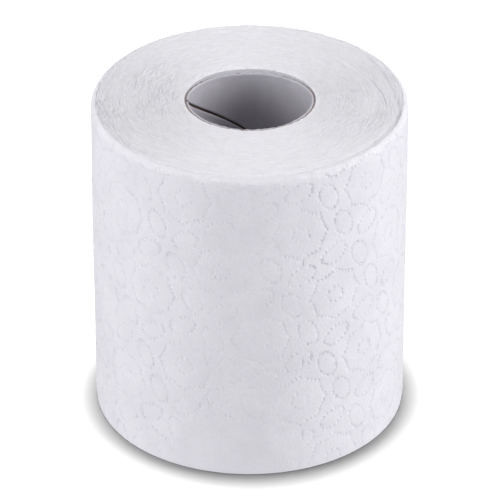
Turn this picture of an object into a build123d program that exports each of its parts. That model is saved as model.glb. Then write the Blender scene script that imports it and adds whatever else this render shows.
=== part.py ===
from build123d import *
from math import atan2, cos, degrees, pi, radians, sin
import os

# A roll of embossed toilet paper standing on its end. The origin is on the core's axis at the
# base, +Z is up, and -Y is the front, where the first row of perforations lies a little to the
# right of the middle. Lengths are in millimetres and angles in degrees, from +X towards +Y.

# The roll
roll_width = 114.3
roll_diameter = 105.6
top_rim_depth = 2.5
base_rim_depth = 0.6

# The paper web, which winds inwards clockwise seen from above
sheet_thickness = 0.35
sheet_length = 114.3
first_perforation_azimuth = -70.5

# The cuts of one row of perforations, and the bonds that are left between them
cuts_per_row = 12
cut_width = 0.3
bond_length = 1.5

# The turns that show on the two ends, each crest standing for a bundle of real turns
shown_turns = 12
turn_relief = 0.5
crest_drop = 0.05
outer_land = 1.3
inner_land = 0.8

# The core, two strips of board wound side by side in a helix
core_bore_diameter = 40.8
inner_ply_thickness = 0.35
outer_ply_thickness = 0.35
glue_film = 0.05
core_recess = 0.5

# The butt seams of the two strips, which rise counterclockwise
seam_pitch = 95.4
seam_gap = 0.45
inner_seam_azimuth_at_top = 183.0
outer_seam_azimuth_at_top = 123.0

# How far a cutter reaches past what it cuts
overrun = 1.0

# Radii of the core's layers, from the bore outwards
inner_ply_inside = core_bore_diameter / 2
inner_ply_outside = inner_ply_inside + inner_ply_thickness
outer_ply_inside = inner_ply_outside + glue_film
outer_ply_outside = outer_ply_inside + outer_ply_thickness
paper_bore_radius = outer_ply_outside + glue_film

# The web's free edge lies one sheet before the first row of perforations
roll_radius = roll_diameter / 2
sheet_angle = degrees(sheet_length / roll_radius)
free_edge_azimuth = first_perforation_azimuth + sheet_angle

# The crests run from the outer land in to the inner land
first_crest = roll_radius - sheet_thickness - top_rim_depth - outer_land
last_crest = paper_bore_radius + inner_land
turn_spacing = (first_crest - last_crest) / shown_turns


def winding(half, spacing):
    """Joins two half turns into one clockwise turn of a spiral that closes in by the spacing.

    half(inset) gives the half turn from 0 to 180 degrees about its own centre, with its radii
    made smaller by the inset.
    """
    offset = spacing / 4
    leading = Pos(offset, 0, 0) * Rot(0, 0, 180) * half(0)
    trailing = Pos(-offset, 0, 0) * half(spacing / 2)
    return leading + trailing


def half_turn(points):
    """Turns a closed outline of (radius, height) points through the half from 0 to 180 degrees."""
    with BuildPart() as body:
        with BuildSketch(Plane.XZ):
            with BuildLine():
                Polyline(*points, close=True)
            make_face()
        revolve(axis=Axis.Z, revolution_arc=180)
    return body.part


def half_outline(inset):
    """Half of the roll's outer form: the top rim slopes off in two steps, the base rim in one."""
    radius = roll_radius - sheet_thickness / 4 - inset
    shoulder = top_rim_depth * (1 - cos(radians(45)))
    points = [
        (0, 0),
        (radius - base_rim_depth, 0),
        (radius, base_rim_depth),
        (radius, roll_width - top_rim_depth),
        (radius - shoulder, roll_width - shoulder),
        (radius - top_rim_depth, roll_width),
        (0, roll_width),
    ]
    return half_turn(points)


def half_end_cutter(inset):
    """Half of the comb that cuts the turns into the top end, as a closed zigzag profile."""
    start = first_crest - turn_spacing / 4 - inset
    crest_height = roll_width - crest_drop
    run_out = (overrun + crest_drop) * (turn_spacing / 2) / turn_relief
    points = [(start + run_out, roll_width + overrun)]
    for turn in range(shown_turns):
        crest = start - turn * turn_spacing
        points.append((crest, crest_height))
        points.append((crest - turn_spacing / 2, crest_height - turn_relief))
    end = start - shown_turns * turn_spacing
    points.append((end, crest_height))
    points.append((end - run_out, roll_width + overrun))
    return half_turn(points)


def perforation_cutters():
    """The cuts through the outer turn, row after row, one sheet apart from the free edge on."""
    pitch = roll_width / cuts_per_row
    cut = Box(2 * sheet_thickness, cut_width, pitch - bond_length)
    cutters = []
    for row in range(1, int(360 / sheet_angle) + 1):
        for place in range(cuts_per_row):
            seat = Rot(0, 0, -row * sheet_angle) * Pos(roll_radius, 0, (place + 0.5) * pitch)
            cutters.append(seat * cut)
    return cutters


def wound_paper():
    """The whole web as one solid: outer spiral with its free edge, bore, and turns on both ends."""
    body = winding(half_outline, sheet_thickness)
    body -= Cylinder(paper_bore_radius, roll_width, align=(Align.CENTER, Align.CENTER, Align.MIN))
    top_cutter = winding(half_end_cutter, turn_spacing)
    base_cutter = mirror(top_cutter, about=Plane.XY.offset(roll_width / 2))
    body = body - top_cutter - base_cutter - perforation_cutters()
    return Rot(0, 0, free_edge_azimuth) * body


def seam_cutter(inside, outside, azimuth_at_top):
    """A twisted bar that leaves the open butt seam in one ply of the core."""
    middle = (inside + outside) / 2
    climb = degrees(atan2(seam_pitch, 2 * pi * middle))
    width = seam_gap / sin(radians(climb))
    height = roll_width + 2 * overrun
    twist = 360 * height / seam_pitch
    azimuth_at_foot = azimuth_at_top - 360 * (height - overrun - core_recess) / seam_pitch
    section = Pos(middle, 0, -overrun) * Rectangle(outside - inside + 2 * overrun, width)
    section = Rot(0, 0, azimuth_at_foot) * section
    return Solid.extrude_linear_with_rotation(
        section.face(), center=(0, 0, -overrun), normal=(0, 0, height), angle=twist
    )


def core_ply(inside, outside, azimuth_at_top):
    """One strip of board, wound into a tube whose edges meet in a helical butt seam."""
    with BuildPart() as tube:
        with Locations((0, 0, core_recess)):
            length = roll_width - 2 * core_recess
            base = (Align.CENTER, Align.CENTER, Align.MIN)
            Cylinder(outside, length, align=base)
            Cylinder(inside, length, align=base, mode=Mode.SUBTRACT)
    return tube.part - seam_cutter(inside, outside, azimuth_at_top)


nodes = {
    "wound_paper": wound_paper(),
    "core_outer_ply": core_ply(outer_ply_inside, outer_ply_outside, outer_seam_azimuth_at_top),
    "core_inner_ply": core_ply(inner_ply_inside, inner_ply_outside, inner_seam_azimuth_at_top),
}

os.makedirs("parts", exist_ok=True)
for name, shape in nodes.items():
    export_step(shape, f"parts/{name}.step")
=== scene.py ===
"""A roll of embossed toilet paper standing on its end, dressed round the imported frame.

The roll's axis is the Z axis and the base stands on Z = 0. -Y is the front. Sizes of the paper
are given in millimetres and made metres where a mesh is built. A place on the roll's side is
given by its arc, the distance along the side to the right of the front, and its height.
"""

import logging
import math
from collections.abc import Callable
from dataclasses import dataclass
from enum import Enum

import bmesh
import bpy
import numpy as np
from bpy.types import Material, Mesh, Object
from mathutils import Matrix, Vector
from mathutils.geometry import delaunay_2d_cdt
from mathutils.kdtree import KDTree


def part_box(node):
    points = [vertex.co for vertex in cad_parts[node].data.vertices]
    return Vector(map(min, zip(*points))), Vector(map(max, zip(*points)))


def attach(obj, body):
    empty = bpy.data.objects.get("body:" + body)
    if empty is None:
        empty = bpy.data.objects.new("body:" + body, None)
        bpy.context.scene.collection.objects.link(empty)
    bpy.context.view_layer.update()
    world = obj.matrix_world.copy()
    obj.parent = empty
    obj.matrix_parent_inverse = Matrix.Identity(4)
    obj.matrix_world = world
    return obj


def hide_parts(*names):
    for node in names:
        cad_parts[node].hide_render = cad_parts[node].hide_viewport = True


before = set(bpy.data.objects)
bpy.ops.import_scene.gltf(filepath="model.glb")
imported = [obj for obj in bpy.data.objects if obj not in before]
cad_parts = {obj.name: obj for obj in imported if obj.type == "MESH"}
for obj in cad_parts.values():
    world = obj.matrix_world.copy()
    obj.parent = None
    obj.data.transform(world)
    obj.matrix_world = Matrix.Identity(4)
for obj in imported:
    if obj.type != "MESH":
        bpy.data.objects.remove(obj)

MM = 0.001
FRONT = -math.pi / 2
FULL_TURN = 2 * math.pi

log = logging.getLogger("paper roll")

Value = "Field | float | int | tuple | Object | Material"
Colour = tuple[float, float, float]
Place = tuple[float, float, float]


class Slot(Enum):
    """The record's material slots."""

    TISSUE = "tissue_paper"
    BROWN = "brown_board"
    LINED = "lined_board"


class End(Enum):
    """The two ends of the roll."""

    TOP = "top"
    BASE = "base"


# Shared mesh work


def polar(radius: float, angle: float) -> tuple[float, float]:
    """The point at a radius and an angle."""
    return radius * math.cos(angle), radius * math.sin(angle)


def crossings(across: np.ndarray, along: np.ndarray) -> np.ndarray:
    """All pairs of two lists of numbers, one pair in a row."""
    return np.stack(np.meshgrid(across, along), axis=-1).reshape(-1, 2)


@dataclass(frozen=True)
class Ripple:
    """Smooth unevenness made of a few crossing waves, about as high and as long as is given."""

    height: float
    length: float
    seed: int
    waves: int = 9

    def at(self, across: np.ndarray, along: np.ndarray) -> np.ndarray:
        """The unevenness at some points.

        Args:
            across: The first coordinate of each point.
            along: The second coordinate of each point.

        Returns:
            One number for each point.
        """
        draw = np.random.default_rng(self.seed)
        total = np.zeros(len(across))
        for _ in range(self.waves):
            heading = draw.uniform(0, FULL_TURN)
            pace = FULL_TURN / (self.length * draw.uniform(0.6, 1.8))
            phase = draw.uniform(0, FULL_TURN)
            total += np.sin(pace * (across * np.cos(heading) + along * np.sin(heading)) + phase)
        return self.height * (total / self.waves * 2.0)


def new_object(name: str, data: bpy.types.ID) -> Object:
    """Puts a new object in the scene, at the origin.

    Args:
        name: The object's name.
        data: Its mesh, light or camera.

    Returns:
        The new object.
    """
    item = bpy.data.objects.new(name, data)
    bpy.context.collection.objects.link(item)
    return item


def read_points(mesh: Mesh) -> np.ndarray:
    """The places of a mesh's points, one in a row.

    Args:
        mesh: The mesh.

    Returns:
        The places, in the mesh's unit.
    """
    places = np.zeros(len(mesh.vertices) * 3)
    mesh.vertices.foreach_get("co", places)
    return places.reshape(-1, 3)


def turn_outwards(mesh: Mesh) -> None:
    """Turns a closed mesh's faces outwards and shades them smooth.

    Args:
        mesh: The mesh.
    """
    work = bmesh.new()
    work.from_mesh(mesh)
    bmesh.ops.recalc_face_normals(work, faces=work.faces)
    for face in work.faces:
        face.smooth = True
    work.to_mesh(mesh)
    work.free()
    mesh.update()


def closed_mesh(name: str, points: np.ndarray, faces: list | np.ndarray) -> Mesh:
    """A smooth closed mesh with its faces turned outwards.

    Args:
        name: The mesh's name.
        points: The points, one in a row, in metres.
        faces: The point numbers of each face.

    Returns:
        The mesh.
    """
    mesh = bpy.data.meshes.new(name)
    mesh.from_pydata(points.tolist(), [], [list(face) for face in faces])
    turn_outwards(mesh)
    return mesh


def put_through(
    mesh: Mesh,
    kind: str,
    settings: dict[str, object],
    inputs: dict[str, float] | None = None,
) -> Mesh:
    """Puts a mesh through a modifier.

    Args:
        mesh: The mesh, which is used up.
        kind: The modifier's type.
        settings: The modifier's own options.
        inputs: The values of its node tree's inputs, by identifier.

    Returns:
        The result as a plain mesh of the same name.
    """
    name = mesh.name
    holder = new_object(name, mesh)
    modifier = holder.modifiers.new(name, kind)
    for option, setting in settings.items():
        setattr(modifier, option, setting)
    for identifier, value in (inputs or {}).items():
        modifier[identifier] = value
    scene_state = bpy.context.evaluated_depsgraph_get()
    result = bpy.data.meshes.new_from_object(holder.evaluated_get(scene_state))
    holder.modifiers.remove(modifier)
    bpy.data.objects.remove(holder)
    bpy.data.meshes.remove(mesh)
    result.name = name
    return result


def add_piece(mesh: Mesh, slot: Slot, node: str) -> Object:
    """Puts a finished mesh on the roll's body.

    Args:
        mesh: The finished mesh.
        slot: The material slot of its finish; it is not used.
        node: The frame's node that it stands for.

    Returns:
        The new object.
    """
    piece = new_object(mesh.name, mesh)
    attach(piece, "root")
    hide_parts(node)
    log.info("%s: %d faces", mesh.name, len(mesh.polygons))
    return piece


# Node trees written as expressions


def operator(operation: str, reflected: bool = False) -> Callable[["Field", Value], "Field"]:
    """An operator between fields, which adds a Math node.

    Args:
        operation: The Math node's operation.
        reflected: Whether the field is the node's second value.

    Returns:
        The operator's method.
    """

    def apply(field: "Field", other: Value) -> "Field":
        """Adds the node and gives its result."""
        values = (other, field) if reflected else (field, other)
        return field.graph.node("ShaderNodeMath", {"operation": operation}, dict(enumerate(values)))

    return apply


class Field:
    """A node's output that takes part in Python expressions."""

    __add__, __radd__ = operator("ADD"), operator("ADD", reflected=True)
    __sub__, __rsub__ = operator("SUBTRACT"), operator("SUBTRACT", reflected=True)
    __mul__, __rmul__ = operator("MULTIPLY"), operator("MULTIPLY", reflected=True)
    __truediv__, __rtruediv__ = operator("DIVIDE"), operator("DIVIDE", reflected=True)
    __pow__, __rpow__ = operator("POWER"), operator("POWER", reflected=True)
    __lt__, __gt__ = operator("LESS_THAN"), operator("GREATER_THAN")

    def __init__(self, graph: "Graph", socket: bpy.types.NodeSocket) -> None:
        """Keeps the socket and the graph that new nodes go to."""
        self.graph = graph
        self.socket = socket

    def math(self, operation: str, *others: Value) -> "Field":
        """A Math node of this field and, where it takes them, a second and a third value."""
        values = dict(enumerate((self, *others)))
        return self.graph.node("ShaderNodeMath", {"operation": operation}, values)

    def smooth(self, low: Value, high: Value) -> "Field":
        """A smooth step up from 0 to 1, or down where low is the larger of the two.

        Args:
            low: Where the step is 0.
            high: Where the step is 1.

        Returns:
            The step.
        """
        settings = {"interpolation_type": "SMOOTHSTEP"}
        inputs = {"Value": self, "From Min": low, "From Max": high}
        return self.graph.node("ShaderNodeMapRange", settings, inputs)

    def bell(self, width: float) -> "Field":
        """1 where this field is 0, falling off on both sides over about the width."""
        return math.e ** ((self / width) ** 2.0 * -1.0)

    def output(self, name: str) -> "Field":
        """Another output of the node that made this field."""
        return Field(self.graph, self.socket.node.outputs[name])


class Graph:
    """A node tree that is written with expressions."""

    def __init__(self, tree: bpy.types.NodeTree) -> None:
        """Starts on an empty tree."""
        self.tree = tree
        tree.nodes.clear()

    def node(
        self,
        kind: str,
        settings: dict[str, object] | None = None,
        inputs: dict[str | int, Value] | None = None,
        output: str | int = 0,
    ) -> Field:
        """Adds a node.

        Args:
            kind: The node's type.
            settings: The node's own options, set first. "curve" gives a float curve's points.
            inputs: Values or fields by the socket's name or number.
            output: The output that the result stands for.

        Returns:
            That output as a field.
        """
        node = self.tree.nodes.new(kind)
        for name, setting in (settings or {}).items():
            if name == "curve":
                self._set_curve(node.mapping, setting)
            else:
                setattr(node, name, setting)
        for key, value in (inputs or {}).items():
            if isinstance(value, Field):
                self.tree.links.new(value.socket, node.inputs[key])
            else:
                node.inputs[key].default_value = value
        return Field(self, node.outputs[output] if node.outputs else None)

    @staticmethod
    def _set_curve(mapping: bpy.types.CurveMapping, points: list[tuple[float, float]]) -> None:
        """Gives a float curve its points.

        Args:
            mapping: The curve's mapping.
            points: The points, in order.
        """
        curve = mapping.curves[0]
        curve.points[0].location = points[0]
        curve.points[1].location = points[-1]
        for point in points[1:-1]:
            curve.points.new(*point)
        mapping.update()

    def vector(self, x: Value, y: Value, z: Value) -> Field:
        """A vector made of three values."""
        return self.node("ShaderNodeCombineXYZ", inputs={"X": x, "Y": y, "Z": z})

    def axes(self, place: Field) -> tuple[Field, ...]:
        """The three parts of a vector."""
        parts = self.node("ShaderNodeSeparateXYZ", inputs={"Vector": place})
        return tuple(parts.output(axis) for axis in "XYZ")

    def noise(self, place: Field, scale: float, detail: float, rough: float = 0.5) -> Field:
        """Soft noise from 0 to 1 at a place.

        Args:
            place: The vector that the noise is read at.
            scale: How many features there are to a unit of length.
            detail: How many finer layers are added.
            rough: How strong the finer layers are.

        Returns:
            The noise.
        """
        inputs = {"Vector": place, "Scale": scale, "Detail": detail, "Roughness": rough}
        return self.node("ShaderNodeTexNoise", inputs=inputs)


class GeometryGraph(Graph):
    """A Geometry Nodes tree with named inputs."""

    def __init__(self, name: str, sizes: dict[str, float]) -> None:
        """Makes the tree, with an input for each named size.

        Args:
            name: The tree's name.
            sizes: The value of each named input.
        """
        super().__init__(bpy.data.node_groups.new(name, "GeometryNodeTree"))
        interface = self.tree.interface
        for way in ("INPUT", "OUTPUT"):
            interface.new_socket("Mesh", in_out=way, socket_type="NodeSocketGeometry")
        self.values = {}
        for size, value in sizes.items():
            socket = interface.new_socket(size, in_out="INPUT", socket_type="NodeSocketFloat")
            self.values[socket.identifier] = float(value)
        self.entry = self.node("NodeGroupInput")

    def size(self, name: str) -> Field:
        """A named input."""
        return self.entry.output(name)

    def grid(self, side: Value, columns: Field, rows: Field) -> Field:
        """A flat square grid about the origin."""
        sides = {"Size X": side, "Size Y": side, "Vertices X": columns, "Vertices Y": rows}
        return self.node("GeometryNodeMeshGrid", inputs=sides, output="Mesh")

    def finish(self, geometry: Field, material: Material) -> None:
        """Ends the tree with real geometry in its material.

        Args:
            geometry: What the tree has made.
            material: Its finish.
        """
        real = self.node("GeometryNodeRealizeInstances", inputs={"Geometry": geometry})
        dressed = self.node("GeometryNodeSetMaterial", inputs={0: real, "Material": material})
        self.node("NodeGroupOutput", inputs={0: dressed})

    def run(self, start: Mesh) -> Mesh:
        """Runs the tree on a mesh, which is used up, and returns a plain one of its name."""
        return put_through(start, "NODES", {"node_group": self.tree}, self.values)


# Finishes


class Surface(Graph):
    """A material with one shader, and with colour, roughness and relief left to its finish."""

    def __init__(self, name: str, sheen: float) -> None:
        """Makes the material and its shader.

        Args:
            name: The material's name.
            sheen: How much soft fuzz the surface has.
        """
        self.material = bpy.data.materials.new(name)
        self.material.use_nodes = True
        super().__init__(self.material.node_tree)
        gloss = {"Specular IOR Level": 0.15, "Sheen Weight": sheen}
        self.shader = self.node("ShaderNodeBsdfPrincipled", inputs=gloss)
        self.node("ShaderNodeOutputMaterial", inputs={"Surface": self.shader})
        self.place = self.node("ShaderNodeTexCoord", output="Object")
        self.x, self.y, self.z = self.axes(self.place)

    def attribute(self, name: str) -> Field:
        """A number that is kept on the mesh's points."""
        return self.node("ShaderNodeAttribute", {"attribute_name": name}, output="Fac")

    def mix(self, factor: Field, first: Colour | Field, second: Colour | Field) -> Field:
        """A colour between two others.

        Args:
            factor: The share of the second colour, from 0 to 1.
            first: The colour at 0.
            second: The colour at 1.

        Returns:
            The colour.
        """
        colours = [c if isinstance(c, Field) else (*c, 1.0) for c in (first, second)]
        inputs = {0: factor, 6: colours[0], 7: colours[1]}
        settings = {"data_type": "RGBA", "clamp_factor": True}
        return self.node("ShaderNodeMix", settings, inputs, output=2)

    def paint(self, colour: Field, roughness: Field, height: Field, depth: float) -> None:
        """Links the varying finish to the shader.

        Args:
            colour: The surface's colour.
            roughness: The surface's roughness.
            height: The fine relief, from 0 to 1.
            depth: How deep the relief is, in metres.
        """
        inputs = {"Height": height, "Strength": 1.0, "Distance": depth}
        bump = self.node("ShaderNodeBump", inputs=inputs)
        varying = {"Base Color": colour, "Roughness": roughness, "Normal": bump}
        for name, field in varying.items():
            self.tree.links.new(field.socket, self.shader.socket.node.inputs[name])


@dataclass(frozen=True)
class CrepedTissue:
    """The flat of the tissue: crepe folds that run up the roll, fibres and pressed dots, with
    painted shade in the pits and along the top rim.
    """

    colour: Colour = (0.82, 0.81, 0.85)
    cool: Colour = (0.74, 0.735, 0.775)
    # Painted shade: the grey laid in the pits of the pressed dots and along the top rim.
    pressed: Colour = (0.62, 0.62, 0.66)
    crepe_scale: float = 1500.0
    crepe_stretch: float = 0.35
    grain_scale: float = 900.0
    fibre_scale: float = 4200.0
    patch_scale: float = 90.0
    relief: float = 0.28 * MM

    def material(self) -> Material:
        """Builds the finish.

        Returns:
            The material.
        """
        surface = Surface("creped_tissue", sheen=0.06)
        drawn = surface.vector(surface.x, surface.y, surface.z * self.crepe_stretch)
        crepe = surface.noise(drawn, self.crepe_scale, 2.0, 0.6)
        grain = surface.noise(surface.place, self.grain_scale, 3.0, 0.6)
        fibre = surface.noise(surface.place, self.fibre_scale, 2.0, 0.7)
        patch = surface.noise(surface.place, self.patch_scale, 3.0, 0.55)
        # The pressed mark holds painted shade: in the pits of the dots and along the top rim.
        dot = surface.attribute("pressed")
        tone = surface.mix(patch.smooth(0.3, 0.7) * 0.6, self.colour, self.cool)
        tone = surface.mix(grain.smooth(0.45, 0.75) * 0.5, tone, self.cool)
        tone = surface.mix(dot.smooth(0.1, 0.9) * 0.45, tone, self.pressed)
        height = grain * 0.55 + crepe * 0.25 + fibre * 0.2
        surface.paint(tone, 0.88 + crepe * 0.1, height, self.relief)
        return surface.material


@dataclass(frozen=True)
class CutTissue:
    """The cut edges of the turns: streaks round the axis, and painted shade down between the turns,
    in the cracks and on the hole's wall.
    """

    colour: Colour = (0.84, 0.83, 0.865)
    grey: Colour = (0.72, 0.715, 0.755)
    # Painted shade: the grey laid down between the turns, in the cracks and on the hole's wall.
    crevice_shade: Colour = (0.42, 0.42, 0.46)
    streaks_round: float = 8.0
    streak_pitch: float = 0.5 * MM
    grain_scale: float = 1500.0
    fibre_scale: float = 4200.0
    relief: float = 0.30 * MM

    def material(self) -> Material:
        """Builds the finish.

        Returns:
            The material.
        """
        surface = Surface("cut_tissue", sheen=0.04)
        radius = (surface.x**2.0 + surface.y**2.0) ** 0.5
        round_x = surface.x / radius * self.streaks_round
        round_y = surface.y / radius * self.streaks_round
        drawn = surface.vector(round_x, round_y, radius / self.streak_pitch)
        streak = surface.noise(drawn, 1.0, 3.0, 0.65)
        grain = surface.noise(surface.place, self.grain_scale, 3.0, 0.65)
        fibre = surface.noise(surface.place, self.fibre_scale, 2.0, 0.7)
        tone = surface.mix(streak.smooth(0.42, 0.68) * 0.55, self.colour, self.grey)
        tone = surface.mix(grain.smooth(0.45, 0.72) * 0.5, tone, self.grey)
        # Painted shade between the turns, in the cracks and on the hole's wall.
        tone = surface.mix(surface.attribute("crevice_shade").smooth(0.3, 1.0), tone, self.crevice_shade)
        height = grain * 0.5 + streak * 0.3 + fibre * 0.2
        surface.paint(tone, 0.9 + streak * 0.08, height, self.relief)
        return surface.material


@dataclass(frozen=True)
class CoreBoard:
    """Recycled board: flecked pulp with long fibres, and another colour where its ends are cut."""

    name: str
    colour: Colour
    fleck: Colour
    pale: Colour
    cut: Colour | None = None
    half_length: float = 57.15 * MM
    cut_fade: tuple[float, float] = (2.2 * MM, 1.6 * MM)
    fibre_stretch: float = 2.2
    fleck_scale: float = 1500.0
    fibre_scale: float = 3200.0
    patch_scale: float = 160.0
    relief: float = 0.05 * MM

    def material(self) -> Material:
        """Builds the finish.

        Returns:
            The material.
        """
        surface = Surface(self.name, sheen=0.02)
        drawn = surface.vector(surface.x, surface.y, surface.z * self.fibre_stretch)
        fleck = surface.noise(drawn, self.fleck_scale, 4.0, 0.7)
        fibre = surface.noise(surface.place, self.fibre_scale, 3.0, 0.65)
        patch = surface.noise(surface.place, self.patch_scale, 2.0, 0.5)
        tone = surface.mix(patch.smooth(0.3, 0.7) * 0.5, self.colour, self.pale)
        tone = surface.mix(fleck.smooth(0.58, 0.75), tone, self.fleck)
        tone = surface.mix(fibre.smooth(0.62, 0.8) * 0.7, tone, self.pale)
        if self.cut:
            from_middle = (surface.z - self.half_length).math("ABSOLUTE")
            near_end = from_middle.smooth(*(self.half_length - fade for fade in self.cut_fade))
            cut = surface.mix(fleck.smooth(0.5, 0.75), self.cut, self.pale)
            tone = surface.mix(near_end, tone, cut)
        surface.paint(tone, 0.78 + fibre * 0.15, fibre * 0.5 + fleck * 0.5, self.relief)
        return surface.material


# The paper


@dataclass(frozen=True)
class RollSizes:
    """The roll's sizes, from the frame's boxes, in millimetres."""

    width: float
    radius: float
    bore: float
    sheet: float = 0.35
    sheet_length: float = 114.3
    perforation_azimuth: float = math.radians(-70.5)
    top_rim: float = 2.5
    base_rim: float = 0.15
    hole_shift: tuple[float, float] = (0.3, 0.5)
    hole_oval: float = 0.35

    @classmethod
    def from_frame(cls) -> "RollSizes":
        """Reads the paper's and the core's boxes.

        Returns:
            The sizes.
        """
        low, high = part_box("wound_paper")
        core_low, core_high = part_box("core_outer_ply")
        clearance = 0.2
        bore = (core_high.x - core_low.x) / 2 / MM + clearance
        return cls(width=(high.z - low.z) / MM, radius=(high.x - low.x) / 2 / MM, bore=bore)

    @property
    def free_edge(self) -> float:
        """The azimuth of the web's free edge, one sheet on from a row of perforations."""
        return self.perforation_azimuth + self.sheet_length / self.radius

    @property
    def once_round(self) -> float:
        """The length of the outer turn."""
        return FULL_TURN * self.radius

    def rim(self, end: End) -> float:
        """How deep the rim is rounded at an end."""
        return self.top_rim if end is End.TOP else self.base_rim

    def hole_bulge(self, round_x: Value, round_y: Value) -> Value:
        """How far out the hole lies from a true circle, after some handling.

        Args:
            round_x: The cosine of the azimuth.
            round_y: The sine of the azimuth.

        Returns:
            The distance in millimetres.
        """
        shift_x, shift_y = self.hole_shift
        oval = (round_x * round_x - round_y * round_y) * self.hole_oval
        return round_x * shift_x + round_y * shift_y + oval


@dataclass(frozen=True)
class RingPlace:
    """Where each point of an end lies: its direction from the axis, and its radius in metres."""

    tree: GeometryGraph
    x: Field
    y: Field
    radius: Field

    def noise(self, around: float, pitch: float, seed: Field, detail: float = 1.0) -> Field:
        """Noise from 0 to 1 that is drawn out round the axis.

        Args:
            around: How many features there are to a radian.
            pitch: How wide a feature is across the turns, in millimetres.
            seed: What tells this noise from the others.
            detail: How many finer layers are added.

        Returns:
            The noise.
        """
        across = self.radius / (pitch * MM) + seed
        place = self.tree.vector(self.x * around, self.y * around, across)
        return self.tree.noise(place, 1.0, detail)


@dataclass(frozen=True)
class Furrow:
    """A line that wanders across the turns of an end, where the winding has parted or stepped.

    Azimuths are in degrees and radii in millimetres, in order along the line.
    """

    places: tuple[tuple[float, float], ...]
    depth: float
    width: float
    reach: float = 100.0
    fade: float = 0.2

    def depth_at(self, place: RingPlace, azimuth: Field) -> Field:
        """How deep the furrow is at each place of an end.

        Args:
            place: Where each point lies.
            azimuth: Its azimuth from the front, in radians.

        Returns:
            The depth in metres.
        """
        start, stop = self.places[0][0], self.places[-1][0]
        first, last = math.radians(start) - FRONT, math.radians(stop) - FRONT
        along = (azimuth - first) / (last - first)
        curve = [((a - start) / (stop - start), r / self.reach) for a, r in self.places]
        line = place.tree.node("ShaderNodeFloatCurve", {"curve": curve}, {"Value": along})
        apart = place.radius - line * (self.reach * MM)
        shown = along.smooth(0.0, self.fade) * along.smooth(1.0, 1.0 - self.fade)
        return apart.bell(self.width * MM) * shown * (self.depth * MM)


TOP_FURROWS = (
    Furrow(((50.0, 50.0), (40.0, 49.8), (30.0, 49.3), (20.0, 48.5), (10.0, 48.2), (0.0, 49.0),
            (-10.0, 50.4), (-25.0, 51.0)), depth=0.65, width=0.9),
    Furrow(((-5.0, 50.0), (-28.0, 49.3), (-52.0, 49.2), (-80.0, 49.6), (-105.0, 49.8),
            (-130.0, 50.2)), depth=0.5, width=1.0),
    Furrow(((22.0, 42.7), (17.0, 42.9), (8.0, 44.0), (-2.5, 45.1), (-8.0, 45.4)),
           depth=0.9, width=0.22),
    Furrow(((52.0, 40.0), (42.0, 39.6), (30.0, 40.2), (20.0, 40.4)), depth=0.35, width=0.5),
)


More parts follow.
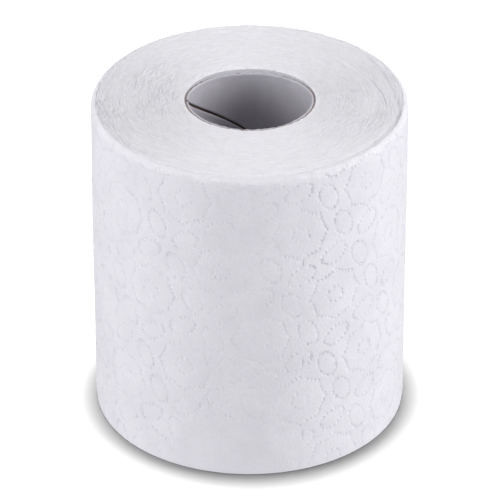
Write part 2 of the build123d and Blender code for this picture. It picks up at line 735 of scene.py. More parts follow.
@dataclass
class WoundTurns:
    """The wound paper under the outer turn: its spiral of cut edges on one end of the roll.

    Lengths are in millimetres. A turn is a groove and two columns of its crest, and two more
    columns on each side close the solid.
    """

    sizes: RollSizes
    end: End
    seed: float
    headroom: float
    furrows: tuple[Furrow, ...] = ()
    turns: int = 64
    stations: int = 480
    turn_columns: int = 3
    side_columns: int = 2
    start_depth: float = 0.95
    relief: float = 0.16
    crack_depth: float = 0.95
    fleck_lift: float = 0.45
    sway: float = 0.16
    crinkle: float = 0.16
    settled: float = 0.25
    wear: float = 0.5
    wear_reach: float = 2.2
    hole_reach: float = 8.0
    side_reach: tuple[float, float] = (2.3, 1.45)
    side_dip: tuple[float, float] = (0.28, 0.22)
    still_edges: tuple[float, float] = (1.5, 0.8)
    touch: float = 0.02
    weld: float = 0.002
    waves: tuple[tuple[float, float, float], ...] = (
        (0.5, 15.0, 0.50), (1.2, 9.0, 0.40), (3.0, 4.0, 0.35), (9.0, 1.5, 0.50))

    def _inputs(self) -> dict[str, float]:
        """Works out the tree's inputs.

        Returns:
            The inputs by name, in metres and radians.
        """
        first = self.sizes.radius - self.start_depth
        lengths = {
            "First radius": first,
            "Bore radius": self.sizes.bore,
            "Pitch": (first - self.sizes.bore) / self.turns,
            "Roll radius": self.sizes.radius,
            "Height": self.sizes.width,
            "Rim": self.sizes.rim(self.end),
            "Relief": self.relief,
            "Crack depth": self.crack_depth,
            "Fleck lift": self.fleck_lift,
            "Sway": self.sway,
            "Crinkle": self.crinkle,
            "Settled": self.settled,
            "Wear": self.wear,
            "Headroom": self.headroom,
        }
        return {
            "Columns": self.turn_columns * (self.turns + 1) + 1 + 2 * self.side_columns,
            "Stations": self.stations + 1,
            "Free edge": self.sizes.free_edge,
            "Seed": self.seed,
            **{name: length * MM for name, length in lengths.items()},
        }

    def _swayed(self, place: RingPlace, still: Field) -> Field:
        """The radius once the turns sway a little and the hole is pressed out of round.

        Args:
            place: Where each point lies in a true spiral.
            still: 0 where the turns stay as they are, and 1 where they are free.

        Returns:
            The radius in metres.
        """
        size = place.tree.size
        sway = (place.noise(2.5, 4.0, size("Seed")) - 0.5) * size("Sway") * 2.0
        sway = sway + (place.noise(16.0, 1.2, size("Seed")) - 0.5) * size("Crinkle") * 2.0
        bore = self.sizes.bore * MM
        near_bore = place.radius.smooth(bore + self.hole_reach * MM, bore)
        bulge = self.sizes.hole_bulge(place.x, place.y) * near_bore * MM
        return place.radius + sway * still + bulge

    def _cuts(self, place: RingPlace, turn: Field) -> tuple[Field, Field]:
        """The grooves between the turns, and the cracks and the lifted flecks of loose paper.

        Args:
            place: Where each point lies in a true spiral.
            turn: How many turns it lies from the first, at its station.

        Returns:
            How deep the end is cut, in metres, and how much painted shade its crevices take, from 0
            to 1.
        """
        size, touch = place.tree.size, self.touch * MM
        inside = place.radius < size("First radius") - touch
        inside = inside * (place.radius > size("Bore radius") + touch)

        # The first column of each turn is its groove, so its number is whole, but for rounding.
        groove = ((turn + 0.1).math("FRACT") < 0.2) * inside
        against = size("Seed") * -1.0
        mirrored = RingPlace(place.tree, place.y, place.x, place.radius)

        # The paper is loosest on the left, less on the right, and hardly at all between them.
        on_left = place.x.smooth(-0.4, -0.9) * 0.7
        on_right = place.x.smooth(0.5, 0.95) * 0.3
        share = on_left + on_right + 0.08
        loose = place.noise(2.0, 9.0, against).smooth(0.35, 0.65) * share
        crack = place.noise(13.0, 0.5, against).smooth(0.53, 0.66) * loose
        lifted = mirrored.noise(13.0, 0.5, size("Seed")).smooth(0.53, 0.66) * loose
        depth = groove * size("Relief") + (groove * 0.75 + 0.25) * crack * size("Crack depth")
        # Painted shade: the grooves and the cracks are marked to be darkened where shade falls into
        # them.
        crevice_shade = groove * 0.4 + (groove * 0.3 + 0.12) * crack
        return depth - lifted * (1.0 - groove) * size("Fleck lift"), crevice_shade

    def _level(self, place: RingPlace, wound: Field, azimuth: Field) -> Field:
        """The height of the end without its cuts.

        Args:
            place: Where each point lies.
            wound: Its radius in a true spiral, in metres.
            azimuth: Its azimuth from the front, in radians.

        Returns:
            The height in metres.
        """
        size = place.tree.size
        rim, bore = size("Rim"), size("Bore radius")
        from_side = size("Roll radius") - place.radius
        inset = (rim - from_side).math("MAXIMUM", 0.0)
        arch = ((rim * rim - inset * inset).math("MAXIMUM", 0.0)) ** 0.5
        dip, tilt = self.side_dip
        dipped = from_side.smooth(*(reach * MM for reach in self.side_reach))
        dipped = dipped * (dip - place.x * tilt) * (rim / self.sizes.top_rim)
        at_edge = wound.smooth(bore + self.wear_reach * MM, bore) * place.y.math("MAXIMUM", 0.0)
        level = size("Height") - rim + arch - dipped - at_edge * size("Wear")
        uneven, furrowed = 0.0, 0.0
        for number, (pitch, around, height) in enumerate(self.waves):
            wave = place.noise(around, pitch, size("Seed") + 7.0 * number, 2.0)
            uneven = (wave - 0.5) * (height * MM) + uneven
        wrapped = (azimuth + FULL_TURN + math.pi).math("WRAP", FULL_TURN, 0.0) - math.pi
        for furrow in self.furrows:
            furrowed = furrow.depth_at(place, wrapped) + furrowed
        return level + uneven - furrowed - size("Settled")

    def _build(self, material: Material) -> Mesh:
        """Winds the end with a node tree.

        Args:
            material: The finish of the cut edges.

        Returns:
            The mesh of the top end; the base end is turned over afterwards.
        """
        name = f"{self.end.value}_turns"
        tree = GeometryGraph(name, self._inputs())
        size = tree.size
        grid = tree.grid(1.0, size("Columns"), size("Stations"))
        x, y, _ = tree.axes(tree.node("GeometryNodeInputPosition"))
        last = size("Columns") - 1.0
        column = ((x + 0.5) * last).math("ROUND")
        turned = y + 0.5

        # The two outer columns on each side close the solid down at half the roll's width.
        wall = (column < 1.5) + (column > last - 1.5)
        foot = (column < 0.5) + (column > last - 0.5)
        turn = (column - self.side_columns) / self.turn_columns
        first, bore = size("First radius"), size("Bore radius")
        wound = first - size("Pitch") * (turn + turned - 1.0)
        wound = wound.math("MINIMUM", first).math("MAXIMUM", bore)
        from_front = size("Free edge") - FRONT - turned * FULL_TURN
        azimuth = from_front + FRONT
        spiral = RingPlace(tree, azimuth.math("COSINE"), azimuth.math("SINE"), wound)

        from_bore, from_first = (edge * MM for edge in self.still_edges)
        still = (wound - bore).smooth(0.0, from_bore) * (first - wound).smooth(0.0, from_first)
        place = RingPlace(tree, spiral.x, spiral.y, self._swayed(spiral, still))
        depth, crevice_shade = self._cuts(spiral, turn)
        top = self._level(place, wound, from_front) - depth * still
        top = top.math("MINIMUM", size("Height") + size("Headroom"))
        z = top * (1.0 - wall) + size("Height") * 0.5 * wall
        radius = tree.node("GeometryNodeSwitch", {"input_type": "FLOAT"}, {
            "Switch": foot, "False": place.radius, "True": (first + bore) * 0.5})
        position = tree.vector(place.x * radius, place.y * radius, z)
        # Painted shade on the paper's hole wall; the closing walls take none of the grooves' shade.
        shade_at_bore = (wound < bore + self.touch * MM) * 0.8
        crevice_shade = (crevice_shade * (1.0 - wall)).math("MAXIMUM", shade_at_bore)
        marked = tree.node("GeometryNodeStoreNamedAttribute", {"data_type": "FLOAT"}, {
            "Geometry": grid, "Name": "crevice_shade", "Value": crevice_shade})
        moved = tree.node("GeometryNodeSetPosition", inputs={
            "Geometry": marked, "Position": position})
        joined = tree.node("GeometryNodeMergeByDistance", inputs={
            "Geometry": moved, "Distance": self.weld * MM})
        tree.finish(joined, material)
        return tree.run(bpy.data.meshes.new(name))

    def dress(self, material: Material) -> Object:
        """Builds the end and puts it on the roll.

        Args:
            material: The finish of the cut edges.

        Returns:
            The new piece.
        """
        mesh = self._build(material)
        if self.end is End.BASE:
            places = read_points(mesh)
            places[:, 2] = self.sizes.width * MM - places[:, 2]
            mesh.vertices.foreach_set("co", places.ravel())
        turn_outwards(mesh)
        return add_piece(mesh, Slot.TISSUE, "wound_paper")


@dataclass(frozen=True)
class DottedOrnament:
    """The pressed ornament of one cell: a rosette at its corner and four leaves round its middle.

    Lengths are in millimetres. Each dot is a shallow pit of a centre, a ring and a lip.
    """

    cell: float = 28.75
    lobes: int = 8
    dots_per_lobe: int = 5
    valley_radius: float = 8.5
    tip_radius: float = 9.6
    rosette_turn: float = math.radians(18.4)
    eye_radius: float = 2.9
    eye_dots: int = 9
    leaves: int = 4
    leaf_dots: int = 18
    leaf_half_length: float = 5.0
    leaf_half_width: float = 3.1
    leaf_offset: float = 7.9
    pit_depth: float = 0.26
    pit_radius: float = 0.52
    pit_press: float = 0.8
    pit_ring: int = 5
    lip_radius: float = 0.80
    lip_press: float = -0.5
    lip_ring: int = 7

    def _rosette(self) -> list[tuple[float, float]]:
        """The centres of the rosette's dots.

        Returns:
            The centres, across and along the cell.
        """
        centres = []
        count = self.lobes * self.dots_per_lobe
        for number in range(count):
            from_tip = abs(2 * (number / self.dots_per_lobe % 1.0) - 1)
            radius = self.tip_radius + (self.valley_radius - self.tip_radius) * (1 - from_tip**2)
            centres.append(polar(radius, FULL_TURN * number / count + self.rosette_turn))
        for number in range(self.eye_dots):
            centres.append(polar(self.eye_radius, FULL_TURN * number / self.eye_dots))
        return centres

    def _leaf(self, heading: float) -> list[tuple[float, float]]:
        """The centres of one leaf's dots.

        Args:
            heading: The way that the leaf points out, in radians.

        Returns:
            The centres, across and along the cell.
        """
        centres = []
        for number in range(self.leaf_dots):
            angle = FULL_TURN * number / self.leaf_dots
            out = self.leaf_offset + self.leaf_half_length * math.cos(angle)
            side = self.leaf_half_width * math.sin(angle)
            centres.append((
                out * math.cos(heading) - side * math.sin(heading),
                out * math.sin(heading) + side * math.cos(heading),
            ))
        return centres

    def stamp(self) -> Mesh:
        """Makes one cell of pits as loose points.

        Returns:
            The points: across, along, and how far each is pressed as its height.
        """
        half = self.cell / 2
        centres = self._rosette()
        for number in range(self.leaves):
            leaf = self._leaf(number * FULL_TURN / self.leaves)
            centres += [(half + x, half + y) for x, y in leaf]
        pit = (self.pit_ring, self.pit_radius, self.pit_press)
        lip = (self.lip_ring, self.lip_radius, self.lip_press)
        points = []
        for x, y in centres:
            points.append((x, y, 1.0))
            for count, radius, press in (pit, lip):
                for number in range(count):
                    across, along = polar(radius, FULL_TURN * number / count)
                    points.append((x + across, y + along, press))
        mesh = bpy.data.meshes.new("ornament_points")
        mesh.from_pydata(points, [], [])
        return mesh

    @property
    def points_per_dot(self) -> int:
        """How many points a pit has."""
        return 1 + self.pit_ring + self.lip_ring


@dataclass
class OuterSheet:
    """The outermost turn of the web, with its pressed ornament, perforations and rolled rims.

    Lengths are in millimetres. The sheet is laid out flat by arc and height, and then wound.
    """

    sizes: RollSizes
    seed: int = 11
    overlap: float = 3.0
    inset: float = 0.12
    rim_angle: float = math.radians(65)
    base_angle: float = math.radians(50)

    # The ornament: its place, and how its dots stray and fade
    ornament: DottedOrnament = DottedOrnament()
    lattice_slope: float = math.atan(0.5)
    rosette_arc: float = 29.7
    rosette_height: float = 66.1
    dot_margin: float = 0.9
    dot_stray: float = 0.08
    dot_force: tuple[float, float] = (0.45, 1.1)
    fade: Ripple = Ripple(0.20, 22.0, seed=11)

    # The perforations: each point of a slit's section by its offset and its share of the depth
    cuts_per_row: int = 12
    cut_bond: float = 1.5
    cut_step: float = 0.45
    cut_margin: float = 0.4
    cut_opening: tuple[float, float] = (0.02, 0.12)
    cut_section: tuple[tuple[float, float], ...] = (
        (0.0, 1.0), (-0.13, 0.35), (0.13, 0.35), (-0.42, 0), (0.42, 0))
    parted_cuts: tuple[int, ...] = (1, 4, 8)
    parted_opening: float = 1.3

    # The relief
    puff: float = 0.14
    puff_reach: float = 2.2
    roughness: float = 0.015
    swell: Ripple = Ripple(0.02, 6.0, seed=15)
    crumple: Ripple = Ripple(0.05, 3.5, seed=16)
    wave: Ripple = Ripple(0.13, 45.0, seed=3)
    wave_radius: float = 52.0
    wave_climb: float = 0.7
    still_ends: float = 12.0

    # The mesh: a band is its start and end below the upper edge, and its step
    grain: float = 1.45
    grain_shift: float = 0.3
    clearance: float = 0.8
    face_stop: float = 3.5
    face_band: tuple[float, float, float] = (3.6, 0.2, 0.45)
    back_steps: tuple[float, float] = (3.2, 8.0)
    back_stop: float = 4.0
    back_band: tuple[float, float, float] = (3.5, 0.3, 0.5)
    border_steps: tuple[float, float] = (1.1, 1.3)

    def __post_init__(self) -> None:
        """Works out the sheet's extent before it is wound."""
        self.end_arc = self.sizes.radius * (self.sizes.free_edge - FRONT)
        self.start_arc = self.end_arc - self.sizes.once_round - self.overlap
        straight = self.sizes.width - self.sizes.top_rim
        self.flat_top = straight + self.sizes.top_rim * self.rim_angle
        self.flat_base = self.sizes.base_rim * (1 - self.base_angle)

    def _lattice(self, material: Material) -> np.ndarray:
        """Lays the ornament's cells out over the sheet with a node tree.

        Args:
            material: The sheet's finish.

        Returns:
            Arc, height and press of each point, in millimetres.
        """
        cell = self.ornament.cell
        reach = math.hypot(self.sizes.once_round, self.sizes.width) * 2
        count = 2 * round(reach / cell / 2) + 1
        tree = GeometryGraph("ornament_lattice", {"Cell": cell, "Count": count,
                                                   "Slope": self.lattice_slope})
        cells = tree.size("Count")
        grid = tree.grid(tree.size("Cell") * (cells - 1.0), cells, cells)
        placed = {"Points": grid, "Instance": tree.entry.output("Mesh")}
        stamped = tree.node("GeometryNodeInstanceOnPoints", inputs=placed)
        slope = tree.vector(0.0, 0.0, tree.size("Slope"))
        turned = tree.node("GeometryNodeTransform", inputs={"Geometry": stamped, "Rotation": slope})
        tree.finish(turned, material)
        points = read_points(tree.run(self.ornament.stamp()))
        points[:, 0] += self.rosette_arc
        points[:, 1] += self.rosette_height
        return points

    def _strength(self, arc: np.ndarray, height: np.ndarray) -> np.ndarray:
        """How much of its full depth the ornament keeps: most on the right, least low in front.

        Args:
            arc: The arc of each dot.
            height: The height of each dot.

        Returns:
            The share of each dot's full depth.
        """
        # Shares of the full depth, by arc and height in millimetres
        right = 0.70 / (1 + np.exp((18 - arc) / 3.5))
        left = 0.58 / (1 + np.exp((arc + 22) / 4))
        low = np.exp(-((arc / 26) ** 2)) / (1 + np.exp((height - 17) / 2.0))
        return np.clip(0.30 + self.fade.at(arc, height) + right + left - 0.85 * low, 0.06, 1.15)

    def _pits(self, material: Material) -> tuple[np.ndarray, np.ndarray]:
        """The pressed dots that fall on the sheet.

        Args:
            material: The sheet's finish.

        Returns:
            Their points, and how far each is pressed from 0 to 1.
        """
        dots = self._lattice(material).reshape(-1, self.ornament.points_per_dot, 3)
        arc, height = dots[:, 0, 0], dots[:, 0, 1]
        margin = self.dot_margin
        kept = (arc > self.start_arc + margin) & (arc < self.end_arc - margin)
        kept &= (height > self.flat_base + margin) & (height < self.flat_top - margin)
        for row in self._perforations():
            kept &= abs(arc - row) > margin
        dots = dots[kept]
        draw = np.random.default_rng(self.seed)
        force = draw.uniform(*self.dot_force, len(dots))
        force = force * self._strength(dots[:, 0, 0], dots[:, 0, 1])
        for axis in (0, 1):
            dots[:, :, axis] += draw.normal(0, self.dot_stray, (len(dots), 1))
        press = dots[:, :, 2] * force[:, None]
        return dots[:, :, :2].reshape(-1, 2), press.ravel()

    def _perforations(self) -> list[float]:
        """The arcs of the rows of perforations, one sheet apart from the free edge on."""
        count = int(self.sizes.once_round / self.sizes.sheet_length)
        return [self.end_arc - self.sizes.sheet_length * (row + 1) for row in range(count)]

    def _cuts(self) -> tuple[np.ndarray, np.ndarray]:
        """The perforations as rows of fine slits.

        Returns:
            Their points, and how far each is pressed.
        """
        draw = np.random.default_rng(self.seed + 1)
        pitch = self.sizes.width / self.cuts_per_row
        points, press = [], []
        for row in self._perforations():
            for place in range(self.cuts_per_row):
                parted = place in self.parted_cuts
                opened = self.parted_opening if parted else draw.uniform(*self.cut_opening)
                pointed = 5.0 if parted else 0.5
                low = place * pitch + self.cut_bond / 2
                high = low + pitch - self.cut_bond
                for height in np.arange(low, high, self.cut_step):
                    tip = math.sin(math.pi * (height - low) / (high - low)) ** pointed
                    stray = 0.06 * math.sin(height * 1.7) + 0.05 * math.sin(height * 0.61 + row)
                    for side, share in self.cut_section:
                        points.append((row + stray + side, height))
                        press.append(share * opened * tip)
        points, press = np.array(points), np.array(press)
        low, high = self.flat_base + self.cut_margin, self.flat_top - self.cut_margin
        kept = (points[:, 1] > low) & (points[:, 1] < high)
        return points[kept], press[kept]

    def _band(self, band: tuple[float, float, float]) -> np.ndarray:
        """The heights of a band below the sheet's upper edge."""
        start, stop, step = band
        return np.arange(self.flat_top - start, self.flat_top - stop, step)

    def _ground(self, taken: np.ndarray) -> np.ndarray:
        """The points between the dots, a little out of line, and closer near the rims.

        Args:
            taken: The points that are there already.

        Returns:
            The points that lie clear of those.
        """
        draw = np.random.default_rng(self.seed + 2)
        step, shift = self.grain, self.grain_shift
        arcs = np.arange(self.start_arc + step, self.end_arc - step / 2, step)
        heights = np.arange(self.flat_base + step, self.flat_top - self.face_stop, step)
        middle = crossings(arcs, heights)
        middle += draw.uniform(-shift, shift, middle.shape) * step
        rim = crossings(arcs, self._band(self.face_band))
        rim[:, 0] += draw.uniform(-shift, shift, len(rim)) * step
        ground = np.concatenate([middle, rim])
        crowded = {tuple(place) for place in np.floor(taken / self.clearance).astype(int)}
        near = [(dx, dy) for dx in (-1, 0, 1) for dy in (-1, 0, 1)]
        homes = np.floor(ground / self.clearance).astype(int)
        clear = [not any((x + dx, y + dy) in crowded for dx, dy in near) for x, y in homes]
        return ground[np.array(clear)]

    def _border(self) -> np.ndarray:
        """The points round the sheet's edge.

        Returns:
            Arc and height of each point, in order.
        """
        round_step, up_step = self.border_steps
        arcs = np.linspace(
            self.start_arc, self.end_arc, round(self.sizes.once_round / round_step))
        heights = np.linspace(self.flat_base, self.flat_top, round(self.sizes.width / up_step))
        low = [(arc, self.flat_base) for arc in arcs[:-1]]
        end = [(self.end_arc, height) for height in heights[:-1]]
        high = [(arc, self.flat_top) for arc in arcs[:0:-1]]
        start = [(self.start_arc, height) for height in heights[:0:-1]]
        return np.array(low + end + high + start)

    def _relief(self, points: np.ndarray, press: np.ndarray, dots: np.ndarray) -> np.ndarray:
        """How far each point of the face stands out from the sheet's middle.

        Args:
            points: Arc and height of each point.
            press: How far each is pressed, from 0 to 1.
            dots: The centres of the pressed dots.

        Returns:
            The distances in millimetres.
        """
        draw = np.random.default_rng(self.seed + 3)
        nearest = KDTree(len(dots))
        for number, (arc, height) in enumerate(dots.tolist()):
            nearest.insert((arc, height, 0.0), number)
        nearest.balance()
        apart = np.array([nearest.find((arc, height, 0.0))[2] for arc, height in points.tolist()])
        swell = self.puff * (1 - np.exp(-((apart / self.puff_reach) ** 2)))
        swell += self.roughness * (press <= 0) * draw.uniform(-1, 1, len(points))
        swell += self.swell.at(points[:, 0], points[:, 1])
        return swell - self.ornament.pit_depth * press

    def _wind(self, points: np.ndarray, lift: np.ndarray) -> np.ndarray:
        """Winds flat points round the roll.

        Args:
            points: Arc and height of each point.
            lift: How far each stands out from the sheet.

        Returns:
            Their places in metres.
        """
        sizes = self.sizes
        arc, height = points.T
        azimuth = arc / sizes.radius + FRONT
        wound = (self.end_arc - arc) / sizes.once_round
        across, along = np.cos(azimuth) * self.wave_radius, np.sin(azimuth) * self.wave_radius
        wave = self.wave.at(across, along + height * self.wave_climb)
        free = np.clip(height / self.still_ends, 0, 1)
        free = free * np.clip((sizes.width - height) / self.still_ends, 0, 1)
        radius = sizes.radius - self.inset - sizes.sheet * wound + wave * free
        over = np.clip((height - (sizes.width - sizes.top_rim)) / sizes.top_rim, 0, None)
        under = np.clip((sizes.base_rim - height) / sizes.base_rim, 0, None)
        rim = np.where(over > 0, sizes.top_rim, np.where(under > 0, sizes.base_rim, 0.0))
        tilt = over + under
        reach = rim + (lift + self.crumple.at(arc, height) * np.clip(over, 0, 1))
        radius = radius - rim + reach * np.cos(tilt)
        level = np.clip(height, sizes.base_rim, sizes.width - sizes.top_rim)
        level = level + reach * np.sin(tilt) * np.sign(over - under)
        places = [radius * np.cos(azimuth), radius * np.sin(azimuth), level]
        return np.stack(places, axis=1) * MM

    @staticmethod
    def _knit(points: np.ndarray) -> list[list[int]]:
        """Joins flat points into triangles.

        Args:
            points: The points.

        Returns:
            The point numbers of each triangle.
        """
        flat = [Vector(point) for point in points.tolist()]
        same_point = 1e-7
        _, _, faces, sources, _, _ = delaunay_2d_cdt(flat, [], [], 0, same_point)
        return [[sources[corner][0] for corner in face] for face in faces]

    def _painted_shade(self, points: np.ndarray, press: np.ndarray) -> np.ndarray:
        """How much painted shade each point of the face takes: in the pits of the dots, and along
        the top rim.

        Args:
            points: Arc and height of each point.
            press: How far each is pressed.

        Returns:
            The painted shade of each point, from 0 to 1.
        """
        # Painted shade that dims the top rim, strongest a little right of the front.
        rim_shade = np.clip((points[:, 1] - self.flat_top) / 2.0 + 1.5, 0, 1)
        rim_shade *= 0.2 + 0.65 * np.exp(-(((points[:, 0] - 8) / 30) ** 2))
        return np.maximum(press * 0.4, rim_shade)

    def _build(self, material: Material) -> Mesh:
        """Knits the face and the back of the sheet and winds them round the roll.

        Args:
            material: The sheet's finish.

        Returns:
            The sheet as a closed mesh.
        """
        border = self._border()
        edge = len(border)
        pits, pit_press = self._pits(material)
        cuts, cut_press = self._cuts()
        ground = self._ground(np.concatenate([pits, cuts]))
        face_points = np.concatenate([border, pits, cuts, ground])
        press = np.concatenate([np.zeros(edge), pit_press, cut_press, np.zeros(len(ground))])
        lift = self._relief(face_points, press, pits[:: self.ornament.points_per_dot])
        lift[:edge] = 0.0
        step, up_step = self.back_steps
        arcs = np.arange(self.start_arc + step, self.end_arc - step / 2, step)
        heights = np.arange(self.flat_base + step, self.flat_top - self.back_stop, up_step)
        heights = np.concatenate([heights, self._band(self.back_band)])
        back_points = np.concatenate([border, crossings(arcs, heights)])
        face = self._wind(face_points, lift)
        back = self._wind(back_points, np.full(len(back_points), -self.sizes.sheet))
        shift = len(face_points)
        faces = self._knit(face_points)
        faces += [[corner + shift for corner in triangle] for triangle in self._knit(back_points)]
        for point in range(edge):
            following = (point + 1) % edge
            faces.append([point, following, following + shift, point + shift])
        mesh = closed_mesh("outer_sheet", np.concatenate([face, back]), faces)
        for polygon in mesh.polygons:
            polygon.use_smooth = len(polygon.vertices) == 3
        # The pressed attribute carries the painted shade of the pits and of the top rim.
        shade_marks = np.concatenate([self._painted_shade(face_points, press), np.zeros(len(back_points))])
        layer = mesh.attributes.new("pressed", "FLOAT", "POINT")
        layer.data.foreach_set("value", shade_marks.astype(np.float32))
        mesh.materials.append(material)

        # Shading follows the larger faces, so that the small pits don't darken the flat.
        return put_through(mesh, "WEIGHTED_NORMAL", {"mode": "FACE_AREA", "keep_sharp": True})

    def dress(self, material: Material) -> Object:
        """Builds the sheet and puts it on the roll."""
        return add_piece(self._build(material), Slot.TISSUE, "wound_paper")


# The core


@dataclass
class CorePly:
    """One strip of board, wound into a tube whose edges meet in a helical butt seam.

    Lengths are in millimetres.
    """

    name: str
    node: str
    inside: float
    outside: float
    seam_at_top: float
    sink_at_back: float
    seed: int
    sizes: RollSizes
    lip: float = 0.0
    outer_lip_share: float = 0.2
    recess: float = 0.4
    sink_reach: float = 20.0
    seam_pitch: float = 95.4
    seam_gap: float = 0.8
    seam_wobble: float = 0.05
    wobble_length: float = 9.0
    bend: float = 0.03
    bend_length: float = 26.0
    bend_radius: float = 20.0
    fray: float = 0.22
    fray_length: float = 1.3
    fray_radius: float = 21.0
    rows: int = 92
    columns: int = 120

    def _bend(self, azimuth: np.ndarray) -> np.ndarray:
        """How far out the ply lies at each place.

        Args:
            azimuth: The azimuth of each place.

        Returns:
            The distances in millimetres.
        """
        round_x, round_y = np.cos(azimuth), np.sin(azimuth)
        places = [part.ravel() * self.bend_radius for part in (round_x, round_y)]
        bend = Ripple(self.bend, self.bend_length, self.seed + 1).at(*places)
        return bend.reshape(azimuth.shape) + self.sizes.hole_bulge(round_x, round_y)

    def _level(self, azimuth: np.ndarray, heights: np.ndarray) -> np.ndarray:
        """The height of each place, with the ends sunk at the back and a little frayed.

        Args:
            azimuth: The azimuth of each place.
            heights: The height of each row.

        Returns:
            The heights in millimetres.
        """
        level = np.repeat(heights[:, None], self.columns, axis=1)
        near_top = np.clip(1 - (heights[-1] - heights) / self.sink_reach, 0, 1)
        level -= self.sink_at_back * near_top[:, None] * np.clip(np.sin(azimuth), 0, None)
        along = azimuth[-1] * self.fray_radius
        frayed = Ripple(1.0, self.fray_length, self.seed + 2).at(along, np.zeros(self.columns))
        level[-1] += self.fray * (frayed - 0.3)
        level[0] -= self.fray * 0.3 * frayed
        return level

    def _build(self) -> Mesh:
        """Makes the ply as a closed shell.

        Returns:
            The shell's mesh.
        """
        heights = np.linspace(self.recess, self.sizes.width - self.recess, self.rows)
        middle = (self.inside + self.outside) / 2
        climb = math.atan2(self.seam_pitch, FULL_TURN * middle)
        gap = self.seam_gap / math.sin(climb) / middle
        seam = self.seam_at_top - FULL_TURN * (heights[-1] - heights) / self.seam_pitch
        ripple = Ripple(self.seam_wobble, self.wobble_length, self.seed)
        wobble = ripple.at(heights, np.zeros(self.rows)) / middle
        start, stop = seam + gap / 2 + wobble, seam + FULL_TURN - gap / 2 + wobble
        share = np.linspace(0.0, 1.0, self.columns)
        azimuth = start[:, None] + (stop - start)[:, None] * share[None, :]
        bend, level = self._bend(azimuth), self._level(azimuth, heights)
        shells = []
        for radius, lip_share in ((self.outside, self.outer_lip_share), (self.inside, 1.0)):
            reach = radius + bend
            reach[-1] -= lip_share * self.lip
            places = [reach * np.cos(azimuth), reach * np.sin(azimuth), level]
            shells.append(np.stack(places, axis=-1).reshape(-1, 3))
        count = self.rows * self.columns
        grid = np.arange(count).reshape(self.rows, self.columns)
        quads = np.stack([grid[:-1, :-1], grid[:-1, 1:], grid[1:, 1:], grid[1:, :-1]], axis=-1)
        quads = quads.reshape(-1, 4)
        rim = np.concatenate([grid[0, :], grid[1:, -1], grid[-1, -2::-1], grid[-2:0:-1, 0]])
        following = np.roll(rim, -1)
        sides = np.stack([rim, following, following + count, rim + count], axis=-1)
        faces = np.concatenate([quads, quads[:, ::-1] + count, sides])
        return closed_mesh(self.name, np.concatenate(shells) * MM, faces)

    def dress(self, material: Material, slot: Slot) -> Object:
        """Builds the ply and puts it in the roll.

        Args:
            material: The board's finish.
            slot: The material slot that it takes its finish from.

        Returns:
            The new piece.
        """
        mesh = self._build()
        mesh.materials.append(material)
        return add_piece(mesh, slot, self.node)


# The studio


@dataclass(frozen=True)
class Lamp:
    """A soft light that points at the roll's middle, with its panel in metres and its watts."""

    name: str
    place: Place
    panel: tuple[float, float]
    power: float
    aim: Place = (0.0, 0.0, 0.06)

    def hang(self) -> Object:
        """Hangs the light.

        Returns:
            The light.
        """
        data = bpy.data.lights.new(self.name, "AREA")
        data.shape = "RECTANGLE"
        data.size, data.size_y = self.panel
        data.energy = self.power
        lamp = new_object(self.name, data)
        lamp.location = self.place
        heading = Vector(self.aim) - Vector(self.place)
        lamp.rotation_euler = heading.to_track_quat("-Z", "Y").to_euler()
        return lamp


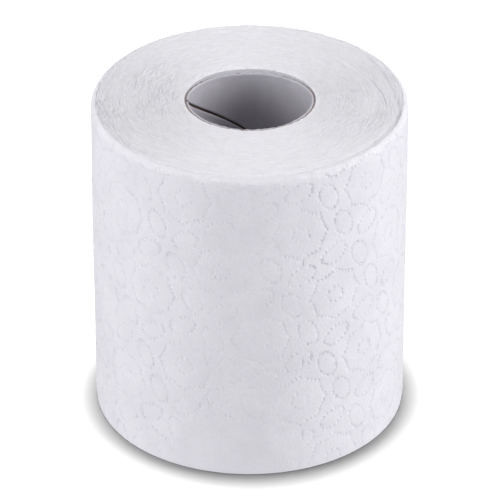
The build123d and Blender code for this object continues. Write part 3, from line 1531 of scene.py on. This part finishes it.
@dataclass(frozen=True)
class Studio:
    """The camera, the pale floor and the soft lights, in metres."""

    camera_place: Place = (0.00025, -1.26643, 0.83718)
    camera_pitch: float = math.radians(58.32)
    lens: float = 317.68
    sensor: float = 36.0
    view_depth: float = 20.0
    floor_side: float = 6.0
    floor_grey: float = 0.25
    floor_glow: float = 0.02
    patch_radius: float = 20.6 * MM
    patch_height: float = 0.02 * MM
    patch_corners: int = 64
    # Painted shade: the patch is far darker than the floor, to darken the core deep down.
    patch_shade_grey: float = 0.10
    room_colour: tuple[float, float, float, float] = (0.965, 0.96, 1.0, 1.0)
    room_light: float = 0.71
    ceiling_shade: float = 0.84
    ceiling_rise: tuple[float, float] = (0.15, 0.6)
    roll_lamps: tuple[Lamp, ...] = (
        Lamp("top_light", (0.0, 0.1, 3.0), (0.6, 0.6), 32.5),
        Lamp("left_light", (-1.2, -0.30, 0.62), (0.6, 1.0), 8.8),
        Lamp("right_light", (1.22, -0.18, 0.62), (0.6, 1.0), 11.2),
        Lamp("front_light", (0.0, -1.35, 0.33), (0.6, 0.6), 2.7),
    )
    floor_lamp: Lamp = Lamp("floor_light", (-0.01, 0.08, 3.0), (0.3, 0.3), 400.0)

    def camera(self) -> None:
        """Makes the scene's camera."""
        data = bpy.data.cameras.new("camera")
        data.lens = self.lens
        data.sensor_width = self.sensor
        data.clip_end = self.view_depth
        camera = new_object("camera", data)
        camera.location = self.camera_place
        camera.rotation_euler = (self.camera_pitch, 0.0, 0.0)
        bpy.context.scene.camera = camera

    @staticmethod
    def _lay(name: str, corners: list[Place], grey: float, finish: dict) -> Object:
        """Lays a flat stage piece.

        Args:
            name: The piece's name.
            corners: Its corners, in order.
            grey: How pale it is.
            finish: More inputs of its shader.

        Returns:
            The new object.
        """
        mesh = bpy.data.meshes.new(name)
        mesh.from_pydata(corners, [], [tuple(range(len(corners)))])
        material = bpy.data.materials.new(name)
        material.use_nodes = True
        graph = Graph(material.node_tree)
        plain = {"Base Color": (grey, grey, grey, 1.0), "Roughness": 1.0}
        shader = graph.node("ShaderNodeBsdfPrincipled", inputs=plain | finish)
        graph.node("ShaderNodeOutputMaterial", inputs={"Surface": shader})
        mesh.materials.append(material)
        piece = new_object(name, mesh)
        return piece

    def floor(self) -> Object:
        """Lays a plain white floor.

        Returns:
            The floor.
        """
        half = self.floor_side / 2
        corners = [(-half, -half, 0), (half, -half, 0), (half, half, 0), (-half, half, 0)]
        floor = self._lay("floor", corners, self.floor_grey, {
            "Specular IOR Level": 0.0,
            "Emission Color": (1.0, 1.0, 1.0, 1.0),
            "Emission Strength": self.floor_glow,
        })
        floor.visible_diffuse = False
        floor.visible_shadow = False
        return floor

    def floor_in_core(self) -> Object:
        """Lays the patch of floor under the core's hole, which keeps light from below out of it;
        its dark grey paints shade deep in the core.

        Returns:
            The patch.
        """
        angles = np.arange(self.patch_corners) * FULL_TURN / self.patch_corners
        corners = [(*polar(self.patch_radius, angle), self.patch_height) for angle in angles]
        return self._lay("floor_in_core", corners, self.patch_shade_grey, {})

    def lights(self, floor: Object, pieces: list[Object]) -> None:
        """Hangs the lights and sets the white surroundings.

        Args:
            floor: The floor, which has a light of its own.
            pieces: The roll's pieces, which the other lights are for.
        """
        self._shine("roll", self.roll_lamps, pieces)
        self._shine("floor", (self.floor_lamp,), [floor])
        world = bpy.data.worlds.new("white_room")
        bpy.context.scene.world = world
        world.use_nodes = True
        graph = Graph(world.node_tree)
        _, _, rise = graph.axes(graph.node("ShaderNodeTexCoord", output="Generated"))
        strength = self.room_light * (1.0 - rise.smooth(*self.ceiling_rise) * self.ceiling_shade)
        background = graph.node("ShaderNodeBackground", inputs={0: self.room_colour, 1: strength})
        graph.node("ShaderNodeOutputWorld", inputs={"Surface": background})
        bpy.context.scene.view_settings.view_transform = "Standard"

    @staticmethod
    def _shine(name: str, lamps: tuple[Lamp, ...], receivers: list[Object]) -> None:
        """Hangs some lights that shine on some objects alone.

        Args:
            name: What the lights shine on.
            lamps: The lights.
            receivers: The objects.
        """
        lit = bpy.data.collections.new(f"light_on_the_{name}")
        for receiver in receivers:
            lit.objects.link(receiver)
        for lamp in lamps:
            lamp.hang().light_linking.receiver_collection = lit


def main() -> None:
    """Builds the roll in its frame, with its studio."""
    logging.basicConfig(level=logging.INFO, format="%(name)s: %(message)s")
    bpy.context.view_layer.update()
    sizes = RollSizes.from_frame()
    cut_tissue = CutTissue().material()
    creped_tissue = CrepedTissue().material()
    # The brown board's own colour, made darker still, which also paints the shade down in the
    # core's seam.
    brown = CoreBoard(
        "brown_board", colour=(0.08, 0.055, 0.04), fleck=(0.05, 0.035, 0.025),
        pale=(0.17, 0.125, 0.09), cut=(0.33, 0.265, 0.255))
    lined = CoreBoard(
        "lined_board", colour=(0.55, 0.535, 0.58), fleck=(0.43, 0.42, 0.45),
        pale=(0.64, 0.625, 0.67))
    top = WoundTurns(sizes, End.TOP, seed=3.0, headroom=0.3, furrows=TOP_FURROWS)
    base = WoundTurns(sizes, End.BASE, seed=41.0, headroom=-0.03)
    outer_ply = CorePly(
        "outer_ply", "core_outer_ply", inside=20.8, outside=21.3,
        seam_at_top=math.radians(123), sink_at_back=1.7, seed=21, sizes=sizes)
    inner_ply = CorePly(
        "inner_ply", "core_inner_ply", inside=20.4, outside=20.75,
        seam_at_top=math.radians(181), sink_at_back=1.3, seed=31, sizes=sizes, lip=0.25)
    pieces = [
        top.dress(cut_tissue),
        base.dress(cut_tissue),
        OuterSheet(sizes).dress(creped_tissue),
        outer_ply.dress(brown.material(), Slot.BROWN),
        inner_ply.dress(lined.material(), Slot.LINED),
    ]
    studio = Studio()
    studio.camera()
    studio.lights(studio.floor(), [*pieces, studio.floor_in_core()])


if __name__ == "__main__":
    main()
